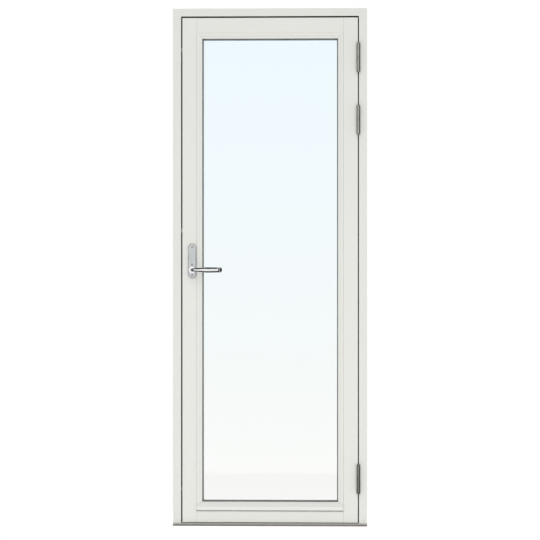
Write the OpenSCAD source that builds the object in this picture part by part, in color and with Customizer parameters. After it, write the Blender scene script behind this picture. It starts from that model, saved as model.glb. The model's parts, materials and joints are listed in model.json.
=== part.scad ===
// Outward-opening glazed door in its frame, in millimetres.
// X runs along the wall, +Y points into the room and Z up.
// The origin is the middle of the threshold's underside.

/* [Frame] */
// Overall width across the two jambs
frame_w = 780; // [700:10:980]
// Overall height from the threshold's underside to the head's top
frame_h = 2080; // [1980:10:2280]
// Width of the jambs as seen from outside
frame_face = 32.5; // [26:0.5:40]
// Height of the head as seen from outside
head_face = 31.5; // [26:0.5:40]
// Depth of the stop that the sash closes on
stop_depth = 31; // [26:1:60]
// How far the stop stands out past the rebate
stop_step = 13; // [11:0.5:16]
// Width of the groove for the room-side lining
lining_w = 12; // [8:1:14]
// Depth of the lining groove
lining_d = 8; // [4:1:12]
// Distance of the lining groove from the frame's outer side
lining_inset = 10; // [6:1:14]
// Diameter of the fixing holes through the jambs
fixing_d = 14; // [10:1:16]
// Height of the lowest fixing hole
fixing_z = 310; // [280:10:400]
// Distance of the highest fixing hole below the head's top
fixing_top = 300; // [270:10:400]
// Number of fixing holes in each jamb
fixing_count = 4; // [2:1:4]
// Distance of the fixing holes behind the outside face
fixing_setback = 55; // [46:1:60]

/* [Threshold] */
// Height of the nose
tread_h = 8.5; // [8:0.5:12]
// How far the nose stands in front of the frame
nose_out = 12; // [6:0.5:15]
// Depth of the slope behind the nose
slope_d = 18; // [12:1:24]
// How much the slope climbs
slope_rise = 4; // [3:0.5:4.5]
// How much the tread climbs from the slope to the upstand
tread_rise = 0.5; // [0.5:0.1:1]
// Height of the upstand behind the sash
upstand_h = 38; // [36:1:45]
// Thickness of the aluminium cover
cover_t = 2; // [1.5:0.5:3]
// Height of the nose's lower edge above the underside
nose_lift = 1.5; // [1:0.5:3]
// Height and depth of the chamfer under the nose
nose_under = 3; // [2:0.5:4]

/* [Seals] */
// Gap between the closed sash and the stop
seal_gap = 4; // [3:0.5:6]
// Width of the seal's bulb
bulb_w = 11; // [9:0.5:12]
// Width of the seal's stem and of its kerf
stem_w = 3; // [2:0.5:4]
// Depth of the seal's stem and of its kerf
stem_d = 6; // [4:0.5:8]
// Space left between the bulb and the closed sash
seal_play = 0.4; // [0.3:0.1:0.8]
// Height of the sill seal above the sash's lower edge
sill_seal_rise = 9; // [7:0.5:11]

/* [Sash] */
// Thickness of the sash
sash_t = 70; // [66:1:80]
// Gap along the lock edge
gap_lock = 5.5; // [5.3:0.1:7]
// Gap along the hinge edge
gap_hinge = 4.5; // [4:0.1:6]
// Gap above the sash
gap_top = 6; // [4:0.5:8]
// Gap below the sash at the threshold's nose
gap_bottom = 6; // [6:0.5:8.5]
// Width of the stiles up to the glazing beads
stile_w = 57.5; // [56:0.5:70]
// Height of the top rail down to its bead
top_rail_w = 61; // [50:0.5:80]
// Height of the bottom rail up to the drip bead
bottom_rail_w = 44.5; // [36:0.5:120]
// Thickness of the lip that the glass is bedded on
lip_t = 15; // [12:1:18]
// How far the lock edge is bevelled back towards the room
lock_bevel = 3.5; // [3:0.5:5]
// Length of the rails' tenons
tenon_l = 35; // [20:1:40]
// Thickness of the tenons
tenon_t = 16; // [12:1:20]
// Distance of the tenons behind the outside face
tenon_setback = 20; // [18:1:24]
// Distance of the tenons from the rails' edges
tenon_inset = 12; // [8:1:16]
// Width and depth of the drip groove under the sash
throat_s = 4; // [3:0.5:6]
// Distance of the drip groove behind the outside face
throat_setback = 8; // [6:1:12]

/* [Glazing] */
// Width of the glazing beads
bead_w = 21.5; // [20:0.5:26]
// Thickness of the glazing beads
bead_t = 17; // [15:1:20]
// Width of the small chamfer along the beads' outer edge
bead_edge = 1.2; // [0.8:0.2:2]
// Width of the flat band next to that chamfer
bead_flat = 6.5; // [4:0.5:8]
// Width of the beads' sloping face
bead_slope = 7.5; // [5:0.5:9]
// How far the sloping face falls back
bead_fall = 5; // [3:0.5:6]
// How far the band next to the glass falls back
bead_toe = 1; // [0.5:0.1:2]
// Thickness of the glazing gaskets
gasket_t = 2; // [1.5:0.5:3]
// How far the outer gasket shows past the beads
gasket_lip = 2.5; // [1.5:0.5:3]
// Thickness of each pane
pane_t = 4; // [3:0.5:5]
// Thickness of each gas space
cavity_t = 11; // [9:0.5:13]
// Width of the spacer bars
spacer_w = 11; // [8:1:12]
// Width of the edge seals
edge_seal_w = 8; // [5:1:9]
// Space between the sealed unit and the rebate
edge_gap = 7; // [6:0.5:8]
// Length of the setting blocks
block_l = 100; // [60:5:120]
// Distance of the setting blocks from the unit's corners
block_inset = 80; // [60:5:120]
// Height of the drip bead
drip_h = 37; // [36:0.5:45]
// How far the drip bead stands out past the sash
drip_out = 10; // [6:1:14]
// How far the drip bead's top falls outwards
drip_fall = 18; // [14:0.5:20]
// Height of the mitre where the drip bead meets the side beads
drip_mitre = 14; // [10:0.5:16]
// Height of the drip bead's nose above its foot
drip_lift = 5; // [4:0.5:9]
// How far the drip bead's foot is set back from the sash face
drip_set = 8; // [2:0.5:9]
// Width and depth of the drip bead's groove
drip_groove = 3; // [2:0.5:4]
// Distance of that groove behind the nose
drip_groove_in = 4; // [3:0.5:5]

/* [Hinges] */
// Outside diameter of the knuckles
knuckle_d = 15.7; // [14:0.1:15.9]
// Length of a pair of knuckles
knuckle_l = 118; // [100:1:130]
// Rounding of the knuckles' ends
knuckle_round = 1.2; // [0.8:0.1:3.5]
// Distance of the hinge axis in front of the outside face
hinge_proud = 8.25; // [8.25:0.05:9]
// Diameter of the hinge pins
hinge_pin_d = 9; // [7:0.5:9.5]
// Radial play of the pin in the sash's knuckle
pin_play = 0.05; // [0.02:0.01:0.1]
// Radial play of the pin in the frame's knuckle
pin_seat = 0.01; // [0.01:0.01:0.03]
// Length of the pin in each knuckle
pin_reach = 40; // [30:1:45]
// Thickness of the washers between the knuckles
washer_t = 1.5; // [0.5:0.1:2]
// How far the washers stay inside the knuckles' outline
washer_set = 1.5; // [0.5:0.1:2]
// Space above the washers
washer_play = 0.3; // [0.3:0.1:0.6]
// Thickness of the leaves
leaf_t = 3; // [2.5:0.1:3]
// Depth of the leaves behind the outside face
leaf_d = 38; // [34:1:45]
// Distance of the leaves from the knuckles' ends
leaf_inset = 5; // [4:0.5:8]
// Metal between the pin and the leaf's root
leaf_bite = 0.8; // [0.6:0.1:1]
// Height of the top hinge's middle below the sash's top
hinge_top = 160.5; // [140:0.5:200]
// Distance between the two upper hinges
hinge_second = 250.5; // [200:0.5:300]
// Height of the bottom hinge's middle above the sash's lower edge
hinge_bottom = 176; // [150:1:200]
// Diameter of the leaf screws
leaf_screw_d = 4; // [3.5:0.1:4.5]
// Diameter of the leaf screws' heads
leaf_screw_head = 7.5; // [7:0.1:8.5]
// Length of the leaf screws
leaf_screw_l = 24; // [20:1:25]
// Distance of the near leaf screws behind the outside face
leaf_screw_near = 10; // [9:0.5:13]
// Distance of the far leaf screw behind the outside face
leaf_screw_far = 27; // [24:0.5:28]
// Height of the near leaf screws above and below the leaf's middle
leaf_screw_z = 15; // [12:0.5:17]

/* [Lock] */
// Distance of the lock's middle behind the outside face
lock_setback = 30.5; // [29:0.5:31]
// Width of the faceplate
faceplate_w = 16; // [15:0.5:17]
// Thickness of the faceplate
faceplate_t = 2.5; // [2:0.1:3]
// How far the faceplate runs past the end cams
faceplate_end = 60; // [50:1:80]
// Diameter of the faceplate screws
face_screw_d = 4; // [3.5:0.1:4.5]
// Diameter of the faceplate screws' heads
face_screw_head = 7; // [6.5:0.1:7.5]
// Length of the faceplate screws
face_screw_l = 20; // [16:1:24]
// Distance of the faceplate screws from its ends and from the cams
face_screw_in = 12; // [10:1:14]
// Width of the rods and racks
rod_w = 8; // [7:0.1:8.4]
// Thickness of the rods
rod_t = 3; // [2.5:0.1:4]
// How far the rods run past their end cams
rod_end = 25; // [20:1:30]
// Space around the sliding rods
slide_gap = 0.3; // [0.3:0.05:0.5]
// Diameter of the cams' heads
cam_d = 8; // [7.5:0.1:8.2]
// Diameter of the cams' necks
cam_neck_d = 6.4; // [6:0.1:6.8]
// Diameter of the cams' stubs in the rods
cam_stub_d = 5; // [4:0.1:5.5]
// How far the cams stand out past the sash edge
cam_out = 3.8; // [3.2:0.1:4]
// Thickness of the cams' heads
cam_head_t = 1.6; // [1.2:0.1:2]
// Height of the upper cam below the sash's top
cam_top = 139; // [120:1:150]
// Height of the middle cam above the handle
cam_rise = 146; // [130:1:180]
// Height of the lower cam above the sash's lower edge
cam_bottom = 146; // [130:1:180]
// Tooth size of the pinion and racks
tooth_m = 1; // [0.95:0.01:1.05]
// Number of teeth on the pinion
pinion_teeth = 16; // [16:2:16]
// Height of the teeth above the pitch line
tooth_add = 0.85; // [0.75:0.05:0.9]
// Depth of the teeth below the pitch line
tooth_ded = 1.1; // [1.1:0.05:1.3]
// Play between the teeth
tooth_play = 0.2; // [0.15:0.01:0.3]
// Thickness of the racks behind their teeth
rack_back = 2.9; // [2.5:0.1:3.2]
// Height of the racks' arms above and below the spindle
arm_z = 30; // [29:0.5:32]
// Height of the racks' arms
arm_h = 8; // [6:0.5:9]
// Height of the gearbox above and below the spindle
case_half = 56; // [55:0.5:60]
// Thickness of the gearbox's sides and cover
case_wall = 3; // [2.5:0.1:3.4]
// Thickness of the gearbox's back and ends
case_skin = 1.5; // [1:0.1:2]
// Diameter of the pinion's hubs
hub_d = 12.6; // [12:0.1:13]
// Radial play of the hubs in the gearbox
hub_play = 0.05; // [0.02:0.01:0.1]
// Thickness of the strike plates
strike_t = 3; // [2:0.1:4]
// Width of the strike plates
strike_w = 32; // [28:1:34]
// Length of the strike plates
strike_l = 76; // [70:1:90]
// How far the strikes' lugs stay clear of the sash edge
lug_clear = 1.4; // [1.3:0.1:1.8]
// Thickness of the lugs
lug_t = 5; // [3:0.5:6]
// Length of the lugs
lug_l = 15; // [12:0.5:16]
// Space between a locked cam and its lug
lug_play = 0.5; // [0.3:0.1:1]
// Space between a free cam and the lug's end
lug_start = 1.5; // [1:0.1:2]
// Diameter of the strike screws
strike_screw_d = 4; // [3.5:0.1:4.5]
// Diameter of the strike screws' heads
strike_screw_head = 8; // [7:0.1:8.5]
// Length of the strike screws
strike_screw_l = 25; // [20:1:25]
// Distance of the strike screws from the plates' ends
strike_screw_in = 9; // [7:0.5:10]

/* [Handle] */
// Distance of the spindle from the sash's lock edge
backset = 39.5; // [38:0.5:40]
// Height of the spindle
handle_z = 1029; // [950:1:1100]
// Side of the square spindle
spindle_s = 7; // [6:0.1:7.5]
// Play between the spindle and its sockets
spindle_fit = 0.05; // [0.02:0.01:0.1]
// Diameter of the spindle's hole through the stile
spindle_hole = 13.5; // [13:0.1:14.5]
// Width of the handle plates
plate_w = 32; // [30:0.5:34]
// Thickness of the handle plates
plate_t = 8; // [6:0.5:10]
// Chamfer around the handle plates
plate_edge = 1.5; // [0.5:0.1:2.5]
// Reach of the handle plates above the spindle
plate_above = 104; // [95:1:120]
// Reach of the handle plates below the spindle
plate_below = 32.5; // [31:0.5:40]
// Diameter of the collars around the levers' necks
collar_d = 26; // [21:0.5:27]
// Height of the collars
collar_t = 2.5; // [1.5:0.1:4]
// Distance between the handle bolts
bolt_pitch = 43; // [42:0.5:44]
// Diameter of the handle bolts
bolt_d = 5; // [4:0.1:5]
// Diameter of the sleeve nuts on the room side
sleeve_d = 7; // [6.6:0.1:7]
// Diameter of the heads of the handle bolts, nuts and plate screws
plate_head = 9; // [8:0.1:10]
// Height of the plate screws above the spindle
plate_screw_z = 92; // [85:1:95]
// Diameter of the plate screws
plate_screw_d = 4; // [3.5:0.1:5]
// Length of the plate screws
plate_screw_l = 30; // [20:1:32]
// Width and depth of the slots in the screw heads
slot_s = 1.4; // [0.8:0.1:1.6]
// Turn of the plate screws' slots
slot_turn = 40; // [0:5:90]
// Diameter of the levers' necks
neck_d = 16; // [15:0.1:17]
// Radial play of the necks in their plates
neck_play = 0.05; // [0.02:0.01:0.1]
// Length of the necks in front of the plates
neck_l = 12; // [10:0.5:14]
// Space between the necks and the stile
neck_gap = 0.5; // [0.3:0.1:1]
// Depth of the square sockets in front of the plates
socket_d = 6; // [4:0.5:7]
// Distance in front of the plates where the levers' sweeps start
sweep_start = 8; // [6:0.5:9]
// Straight run of the sweep
straight_run = 12; // [10:0.5:16]
// Run of the elbow
elbow_run = 28; // [24:0.5:32]
// Run of the bowed grip
bow_run = 85; // [70:1:100]
// Run of the tip
tip_run = 12; // [10:0.5:30]
// Slant of the grip at the ends of its bow
bow_turn = 9; // [4:0.5:14]
// Slant of the tip
tip_turn = 52; // [30:1:60]
// Half height of the sweep at the neck
neck_half = 7.4; // [7:0.1:7.4]
// Half height of the grip at its slim ends
slim_half = 7.6; // [6:0.1:8.5]
// Half height of the grip at its middle
grip_half = 11; // [8:0.1:12]
// Half thickness of the grip
grip_thin = 5.2; // [4.5:0.1:6]
// Half height of the tip
tip_half = 9.4; // [6:0.1:10]
// Half thickness of the tip
tip_thin = 4; // [3:0.1:4.5]

/* [Hidden] */
$fn = 64;

// How far a cutting shape runs past the face that it opens
cut = 2;
// Pressure angle of the rack teeth
pressure = 20;
// Full turn of the handle from free to locked
handle_turn = 90;
// Points along each flank of a pinion tooth
flank_points = 6;
// Teeth of each rack on the leading and the trailing side of the spindle
rack_lead = 2;
rack_trail = 6;
// Stations along a lever's sweep, and points around it
sweep_steps = 44;
sweep_sides = 26;
// Share of the tip's run where it starts to round off
tip_round = 0.8;
// Run that the rounded tip is cut short by
tip_cut = 1;

// Planes of the frame
frame_depth = sash_t + seal_gap + stop_depth;
half_w = frame_w / 2;
y_out = -frame_depth / 2;
y_in = frame_depth / 2;
y_stop = y_out + sash_t + seal_gap;
rebate_x = half_w - frame_face;
stop_x = rebate_x - stop_step;
rebate_z = frame_h - head_face;
stop_z = rebate_z - stop_step;
seal_x = rebate_x - stop_step / 2;
seal_z = rebate_z - stop_step / 2;
slope_top = tread_h + slope_rise;
tread_back = slope_top + tread_rise;
y_sill = y_out - nose_out;
y_slope = y_sill + slope_d;
y_sill_in = y_sill + nose_under + cover_t;
fixing_y = y_out + fixing_setback;
fixing_pitch = (frame_h - fixing_top - fixing_z) / (fixing_count - 1);

// Planes of the sash
sash_x0 = -rebate_x + gap_lock;
sash_x1 = rebate_x - gap_hinge;
sash_mid = (sash_x0 + sash_x1) / 2;
sash_z0 = tread_h + gap_bottom;
sash_z1 = rebate_z - gap_top;
sill_seal_z = sash_z0 + sill_seal_rise;
y_sash_in = y_out + sash_t;
y_lip = y_sash_in - lip_t;
y_bead = y_out + bead_t;
drip_z0 = sash_z0 + bottom_rail_w;
bed_x0 = sash_x0 + stile_w;
bed_x1 = sash_x1 - stile_w;
bed_z0 = drip_z0 + drip_h - bead_w;
bed_z1 = sash_z1 - top_rail_w;
sight_x0 = bed_x0 + bead_w;
sight_x1 = bed_x1 - bead_w;
sight_z0 = bed_z0 + bead_w;
sight_z1 = bed_z1 - bead_w;
y_nose = y_out - drip_out;
y_tenon = y_out + tenon_setback;

// Planes of the sealed unit, from outside to inside
y_pane1 = y_bead + gasket_t;
y_gas1 = y_pane1 + pane_t;
y_pane2 = y_gas1 + cavity_t;
y_gas2 = y_pane2 + pane_t;
y_pane3 = y_gas2 + cavity_t;
y_unit = y_pane3 + pane_t;
seal_in = edge_gap + edge_seal_w;
spacer_in = seal_in + spacer_w;

// Hinge axis and heights
hinge_x = sash_x1 + gap_hinge / 2;
hinge_y = y_out - hinge_proud;
upper_hinge_z = sash_z1 - hinge_top;
middle_hinge_z = upper_hinge_z - hinge_second;
lower_hinge_z = sash_z0 + hinge_bottom;
hinge_zs = [upper_hinge_z, middle_hinge_z, lower_hinge_z];
knuckle_half = (knuckle_l - washer_t - washer_play) / 2;
leaf_l = knuckle_half - 2 * leaf_inset;
leaf_root = hinge_y + hinge_pin_d / 2 + leaf_bite;

// Lock planes, pinion and cams
y_lock = y_out + lock_setback;
y_bevel = y_lock + faceplate_w / 2 + slide_gap;
face_x = sash_x0 + faceplate_t;
rod_x = face_x + slide_gap;
spindle_x = sash_x0 + backset;
pitch_r = tooth_m * pinion_teeth / 2;
tooth_pitch = PI * tooth_m;
rod_travel = pitch_r * handle_turn * PI / 180;
rack_x = pitch_r + tooth_ded + rack_back;
case_x = spindle_x + rack_x + slide_gap;
upper_cam_z = sash_z1 - cam_top;
middle_cam_z = handle_z + cam_rise;
lower_cam_z = sash_z0 + cam_bottom;
face_z0 = lower_cam_z - rod_travel - faceplate_end;
face_z1 = upper_cam_z + rod_travel + faceplate_end;
cam_slot = cam_d + 2 * slide_gap;
face_screw_zs = [
    face_z0 + face_screw_in,
    lower_cam_z + cam_slot + face_screw_in,
    middle_cam_z - cam_slot - face_screw_in,
    middle_cam_z + rod_travel + cam_slot + face_screw_in,
    upper_cam_z - cam_slot - face_screw_in,
    face_z1 - face_screw_in
];
lug_x = sash_x0 - lug_clear;
lug_y = y_lock - cam_d / 2 - lug_play;
y_strike = y_lock + strike_w / 2 - faceplate_w / 2;

// Handle planes
y_plate_out = y_out - plate_t;
y_plate_in = y_sash_in + plate_t;
lever_run = straight_run + elbow_run + bow_run + tip_run;
bolt_zs = [handle_z - bolt_pitch / 2, handle_z + bolt_pitch / 2];

// Colours for the preview
paint = [0.88, 0.88, 0.86];
bead_paint = [0.91, 0.91, 0.89];
oak = [0.62, 0.48, 0.33];
alloy = [0.66, 0.67, 0.68];
steel = [0.62, 0.63, 0.64];
zinc = [0.72, 0.72, 0.70];
satin = [0.80, 0.81, 0.82];
bright = [0.90, 0.90, 0.91];
dark = [0.13, 0.13, 0.12];
grey = [0.45, 0.47, 0.46];
glass = [0.80, 0.90, 0.93, 0.35];

// A box between two corners
module block(lo, hi) {
    translate(lo) cube(hi - lo);
}

// Extrusions of a flat outline along each axis
module along_x(x0, x1) {
    translate([x0, 0, 0]) rotate([90, 0, 90]) linear_extrude(x1 - x0) children();
}

module along_y(y0, y1) {
    translate([0, y1, 0]) rotate([90, 0, 0]) linear_extrude(y1 - y0) children();
}

module along_z(z0, z1) {
    translate([0, 0, z0]) linear_extrude(z1 - z0) children();
}

// Mirror image of what is on the lock side of the sash
module flip_sash() {
    translate([2 * sash_mid, 0, 0]) mirror([1, 0, 0]) children();
}

// Countersunk screw pointing along +Z with its head's face at the origin
module screw_shape(d, head, l) {
    cylinder(d = d, h = l);
    cylinder(d1 = head, d2 = d, h = (head - d) / 2);
}

// Hole for such a screw, open past the head's face
module screw_hole(d, head, l) {
    rotate_extrude() polygon([
        [0, -cut], [head / 2, -cut], [head / 2, 0], [d / 2, (head - d) / 2], [d / 2, l], [0, l]
    ]);
}

module screw(d, head, l, turn = 0) {
    difference() {
        screw_shape(d, head, l);
        rotate([0, 0, turn]) cube([head * 2, slot_s, slot_s * 2], center = true);
    }
}

// Frame
module seal_bars(w, y0, y1) {
    for (side = [-1, 1]) {
        block([side * seal_x - w / 2, y0, tread_back], [side * seal_x + w / 2, y1, seal_z + w / 2]);
    }
    block([-seal_x, y0, seal_z - w / 2], [seal_x, y1, seal_z + w / 2]);
}

module seal_kerf() {
    seal_bars(stem_w, y_stop - cut, y_stop + stem_d);
}

module jamb_outline() {
    difference() {
        translate([rebate_x, y_out]) square([frame_face, frame_depth]);
        translate([half_w - lining_inset - lining_w, y_in - lining_d]) square([lining_w, lining_d + cut]);
    }
}

module below_tread() {
    polygon([
        [y_out - cut, -cut], [y_in + cut, -cut], [y_in + cut, tread_back], [y_stop, tread_back],
        [y_slope, slope_top], [y_out - cut, slope_at(y_out - cut)]
    ]);
}

module jamb() {
    difference() {
        along_z(0, frame_h) jamb_outline();
        along_x(rebate_x - cut, half_w + cut) below_tread();
        for (i = [0 : fixing_count - 1]) {
            translate([rebate_x - cut, fixing_y, fixing_z + i * fixing_pitch]) rotate([0, 90, 0])
                cylinder(d = fixing_d, h = frame_face + 2 * cut);
        }
    }
}

// Stop planted on a jamb, with the seal's kerf in it
module jamb_stop() {
    difference() {
        block([stop_x, y_stop, tread_back], [rebate_x, y_in, frame_h]);
        seal_kerf();
    }
}

module lock_stop() {
    color(paint) mirror([1, 0, 0]) jamb_stop();
}

module hinge_stop() {
    color(paint) jamb_stop();
}

module lock_jamb() {
    color(paint) difference() {
        mirror([1, 0, 0]) jamb();
        strike_pocket(upper_cam_z, 1);
        strike_pocket(middle_cam_z, 1);
        strike_pocket(lower_cam_z, -1);
    }
}

module hinge_jamb() {
    color(paint) difference() {
        jamb();
        for (z = hinge_zs) {
            frame_leaf_plate(z, y_out - cut, cut);
            frame_leaf_holes(z);
        }
    }
}

module head() {
    color(paint) difference() {
        along_x(-rebate_x, rebate_x) polygon([
            [y_out, rebate_z], [y_stop, rebate_z], [y_stop, stop_z],
            [y_in, stop_z], [y_in, frame_h], [y_out, frame_h]
        ]);
        for (side = [0, 1]) mirror([side, 0, 0]) {
            block([stop_x, y_stop, stop_z - cut], [half_w, y_in + cut, frame_h + cut]);
        }
        seal_kerf();
        block([-half_w, y_in - lining_d, frame_h - lining_inset - lining_w],
            [half_w, y_in + cut, frame_h - lining_inset]);
    }
}

// Threshold
function slope_at(y) = tread_h + slope_rise * (y - y_sill) / slope_d;

module sill_kerf() {
    block([-stop_x - cut, y_stop - cut, sill_seal_z - stem_w / 2],
        [stop_x + cut, y_stop + stem_d, sill_seal_z + stem_w / 2]);
}

module cover_outline() {
    y_back = y_sill + cover_t;
    polygon([
        [y_sill + nose_under, nose_lift], [y_sill, nose_lift + nose_under], [y_sill, tread_h],
        [y_slope, slope_top], [y_stop, tread_back], [y_stop, tread_back - cover_t],
        [y_slope, slope_top - cover_t], [y_back, slope_at(y_back) - cover_t],
        [y_back, nose_lift + nose_under], [y_sill_in, nose_lift]
    ]);
}

module riser_outline() {
    polygon([
        [y_stop, tread_back - cover_t], [y_stop, upstand_h], [y_in, upstand_h],
        [y_in, upstand_h - cover_t], [y_stop + cover_t, upstand_h - cover_t],
        [y_stop + cover_t, tread_back - cover_t]
    ]);
}

// Riser and cap over the upstand, with a channel that holds the sill seal
module riser() {
    channel = stem_w / 2 + cover_t;
    along_x(-stop_x, stop_x) riser_outline();
    block([-stop_x, y_stop, sill_seal_z - channel],
        [stop_x, y_stop + stem_d + cover_t, sill_seal_z + channel]);
}

module threshold_cover() {
    color(alloy) difference() {
        union() {
            along_x(-half_w, half_w) cover_outline();
            riser();
        }
        sill_kerf();
    }
}

module threshold_core() {
    y_back = y_sill + cover_t;
    color(oak) difference() {
        union() {
            along_x(-half_w, half_w) polygon([
                [y_sill_in, 0], [y_in, 0], [y_in, tread_back], [y_stop, tread_back],
                [y_stop, tread_back - cover_t], [y_slope, slope_top - cover_t],
                [y_back, slope_at(y_back) - cover_t], [y_back, nose_lift + nose_under],
                [y_sill_in, nose_lift]
            ]);
            block([-stop_x, y_stop + cover_t, 0], [stop_x, y_in, upstand_h - cover_t]);
        }
        riser();
    }
}

// Seals
module frame_seal() {
    color(dark) {
        seal_bars(stem_w, y_stop - seal_play, y_stop + stem_d);
        seal_bars(bulb_w, y_stop - seal_gap + seal_play, y_stop);
    }
}

module sill_seal() {
    bulb_x = seal_x - bulb_w / 2;
    color(dark) {
        block([-stop_x, y_stop - seal_play, sill_seal_z - stem_w / 2],
            [stop_x, y_stop + stem_d, sill_seal_z + stem_w / 2]);
        block([-bulb_x, y_stop - seal_gap + seal_play, sill_seal_z - bulb_w / 2],
            [bulb_x, y_stop, sill_seal_z + bulb_w / 2]);
    }
}

// Strikes: way is +1 where the cam rises to lock and -1 where it drops
function strike_mid(z, way) = z + way * rod_travel / 2;

module strike_plate(z, way, proud) {
    mid = strike_mid(z, way);
    block([-rebate_x - strike_t, y_strike - strike_w, mid - strike_l / 2],
        [-rebate_x + proud, y_strike, mid + strike_l / 2]);
}

module strike_lug(z, way) {
    near = z + way * (cam_d / 2 + lug_start);
    far = near + way * lug_l;
    block([-rebate_x - strike_t, lug_y - lug_t, min(near, far)], [lug_x, lug_y, max(near, far)]);
}

module strike_screw_places(z, way) {
    for (end = [-1, 1]) {
        place = strike_mid(z, way) + end * (strike_l / 2 - strike_screw_in);
        translate([-rebate_x, y_strike - strike_w / 2, place]) rotate([0, -90, 0]) children();
    }
}

module strike_holes(z, way) {
    strike_screw_places(z, way) screw_hole(strike_screw_d, strike_screw_head, strike_screw_l);
}

module strike_pocket(z, way) {
    strike_plate(z, way, cut);
    strike_holes(z, way);
}

module strike(z, way) {
    color(zinc) difference() {
        union() {
            strike_plate(z, way, 0);
            strike_lug(z, way);
        }
        strike_holes(z, way);
    }
}

module upper_strike() {
    strike(upper_cam_z, 1);
}

module middle_strike() {
    strike(middle_cam_z, 1);
}

module lower_strike() {
    strike(lower_cam_z, -1);
}

module strike_screws() {
    color(zinc) {
        strike_screw_places(upper_cam_z, 1) screw(strike_screw_d, strike_screw_head, strike_screw_l);
        strike_screw_places(middle_cam_z, 1) screw(strike_screw_d, strike_screw_head, strike_screw_l);
        strike_screw_places(lower_cam_z, -1) screw(strike_screw_d, strike_screw_head, strike_screw_l);
    }
}

// Hinges
module knuckle(bore) {
    r = knuckle_d / 2;
    difference() {
        rotate_extrude() {
            translate([0, knuckle_round]) square([r, knuckle_half - knuckle_round]);
            square([r - knuckle_round, knuckle_round]);
            translate([r - knuckle_round, knuckle_round]) circle(knuckle_round);
        }
        translate([0, 0, knuckle_half - pin_reach]) cylinder(r = bore, h = pin_reach + cut);
    }
}

// A leaf's plate from a given front edge, for the leaf and, standing proud, for its pocket
module frame_leaf_plate(z, front, proud) {
    low = z - knuckle_l / 2 + leaf_inset;
    block([rebate_x - proud, front, low], [rebate_x + leaf_t, y_out + leaf_d, low + leaf_l]);
}

module sash_leaf_plate(z, front, proud) {
    high = z + knuckle_l / 2 - leaf_inset;
    block([sash_x1 - leaf_t, front, high - leaf_l], [sash_x1 + proud, y_out + leaf_d, high]);
}

module leaf_screw_places(x, mid, turn) {
    for (p = [[leaf_screw_near, -leaf_screw_z], [leaf_screw_near, leaf_screw_z], [leaf_screw_far, 0]]) {
        translate([x, y_out + p[0], mid + p[1]]) rotate([0, turn, 0]) children();
    }
}

module frame_leaf_places(z) {
    leaf_screw_places(rebate_x, z - knuckle_l / 2 + leaf_inset + leaf_l / 2, 90) children();
}

module sash_leaf_places(z) {
    leaf_screw_places(sash_x1, z + knuckle_l / 2 - leaf_inset - leaf_l / 2, -90) children();
}

module frame_leaf_holes(z) {
    frame_leaf_places(z) screw_hole(leaf_screw_d, leaf_screw_head, leaf_screw_l);
}

module sash_leaf_holes(z) {
    sash_leaf_places(z) screw_hole(leaf_screw_d, leaf_screw_head, leaf_screw_l);
}

module frame_leaf(z) {
    color(steel) difference() {
        union() {
            translate([hinge_x, hinge_y, z - knuckle_l / 2]) knuckle(hinge_pin_d / 2 + pin_seat);
            frame_leaf_plate(z, leaf_root, 0);
        }
        frame_leaf_holes(z);
    }
}

module sash_leaf(z) {
    color(steel) difference() {
        union() {
            translate([hinge_x, hinge_y, z + knuckle_l / 2]) rotate([180, 0, 0])
                knuckle(hinge_pin_d / 2 + pin_play);
            sash_leaf_plate(z, leaf_root, 0);
        }
        sash_leaf_holes(z);
    }
}

module upper_frame_leaf() {
    frame_leaf(upper_hinge_z);
}

module middle_frame_leaf() {
    frame_leaf(middle_hinge_z);
}

module lower_frame_leaf() {
    frame_leaf(lower_hinge_z);
}

module upper_sash_leaf() {
    sash_leaf(upper_hinge_z);
}

module middle_sash_leaf() {
    sash_leaf(middle_hinge_z);
}

module lower_sash_leaf() {
    sash_leaf(lower_hinge_z);
}

module hinge_pins() {
    low = knuckle_half - pin_reach - knuckle_l / 2;
    color(steel) for (z = hinge_zs) {
        translate([hinge_x, hinge_y, z + low]) cylinder(d = hinge_pin_d, h = 2 * pin_reach);
    }
}

module hinge_washers() {
    low = knuckle_half - knuckle_l / 2;
    color(zinc) for (z = hinge_zs) {
        translate([hinge_x, hinge_y, z + low]) difference() {
            cylinder(r = knuckle_d / 2 - washer_set, h = washer_t);
            translate([0, 0, -cut]) cylinder(r = hinge_pin_d / 2 + pin_seat, h = washer_t + 2 * cut);
        }
    }
}

module hinge_frame_screws() {
    color(steel) for (z = hinge_zs) {
        frame_leaf_places(z) screw(leaf_screw_d, leaf_screw_head, leaf_screw_l);
    }
}

module hinge_sash_screws() {
    color(steel) for (z = hinge_zs) {
        sash_leaf_places(z) screw(leaf_screw_d, leaf_screw_head, leaf_screw_l);
    }
}

// Sash
module tenons(z0, z1) {
    block([bed_x0 - tenon_l, y_tenon, z0 + tenon_inset],
        [bed_x1 + tenon_l, y_tenon + tenon_t, z1 - tenon_inset]);
}

module all_tenons() {
    tenons(sash_z0, bed_z0);
    tenons(bed_z1, sash_z1);
}

module throat() {
    block([sash_x0 - cut, y_out + throat_setback, sash_z0 - cut],
        [sash_x1 + cut, y_out + throat_setback + throat_s, sash_z0 + throat_s]);
}

module lock_stile() {
    color(paint) difference() {
        along_z(sash_z0, sash_z1) polygon([
            [sash_x0, y_out], [bed_x0, y_out], [bed_x0, y_lip], [sight_x0, y_lip], [sight_x0, y_sash_in],
            [sash_x0 + lock_bevel, y_sash_in], [sash_x0, y_bevel]
        ]);
        all_tenons();
        throat();
        faceplate_blank(cut);
        face_screw_places() screw_hole(face_screw_d, face_screw_head, face_screw_l);
        rod_channel();
        block([face_x - cut, y_lock - case_y, handle_z - case_half],
            [case_x + case_skin, y_lock + case_y, handle_z + case_half]);
        handle_holes();
    }
}

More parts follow.
